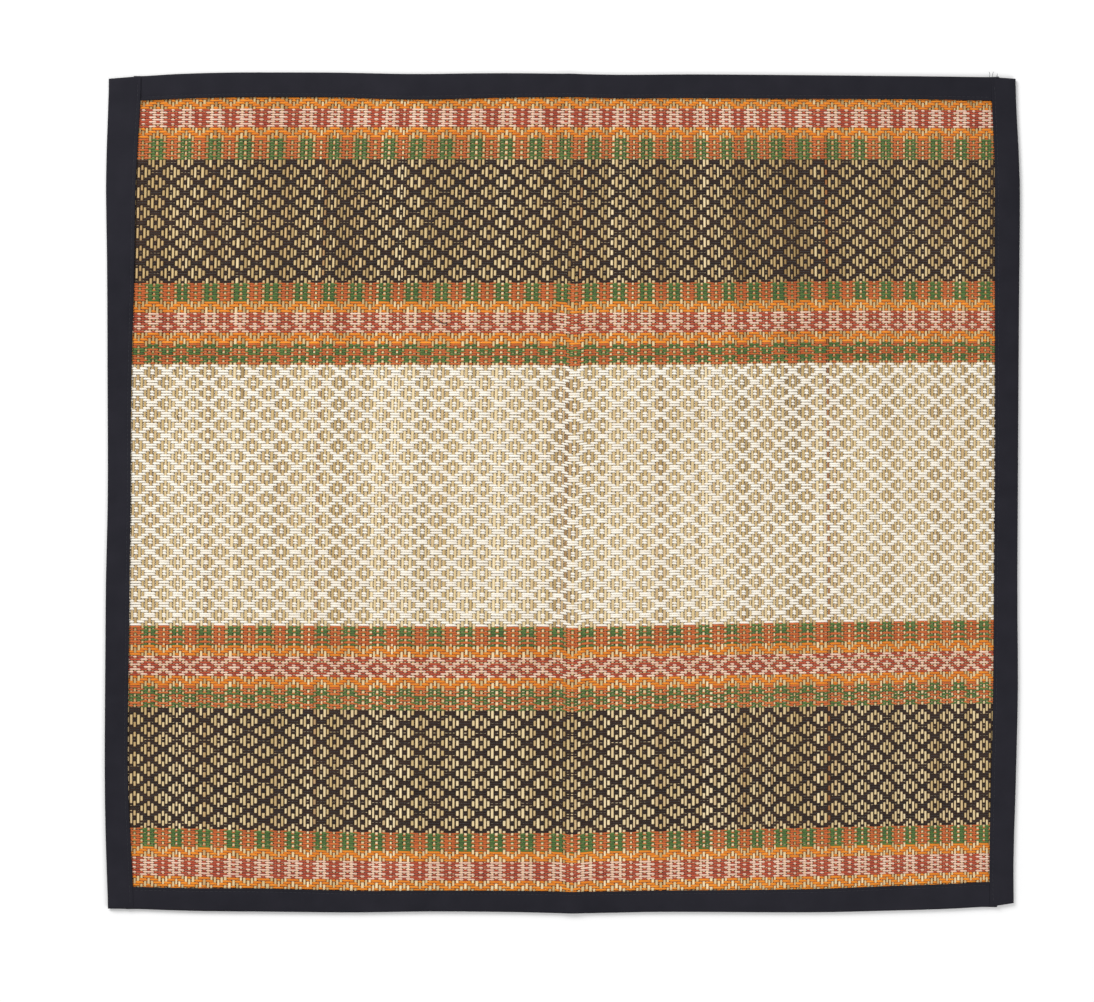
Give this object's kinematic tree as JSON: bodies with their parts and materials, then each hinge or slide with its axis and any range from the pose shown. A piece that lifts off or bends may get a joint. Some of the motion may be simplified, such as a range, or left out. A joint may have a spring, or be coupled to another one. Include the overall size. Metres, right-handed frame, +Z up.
{
  "type": "grass floor mat",
  "caption": "Flat rectangular floor mat woven from split reeds and dyed cotton yarns in coloured bands, bound on all four edges with dark cotton tape.",
  "frame": {"origin": "centre of the mat's bounding box, on the floor under it", "axes": "+X along the cotton yarns towards the right edge, +Y along the reeds towards the back edge, +Z up from the floor"},
  "size_m": [0.61, 0.5606, 0.0047],
  "materials": {
    "reed_weave": "split grass reeds bound with matt dyed cotton yarns",
    "binding_cloth": "matt plain-woven cotton tape"
  },
  "bodies": {
    "root": {"woven_panel": "reed_weave", "binding_left": "binding_cloth", "binding_right": "binding_cloth", "binding_back": "binding_cloth", "binding_front": "binding_cloth"}
  },
  "joints": []
}
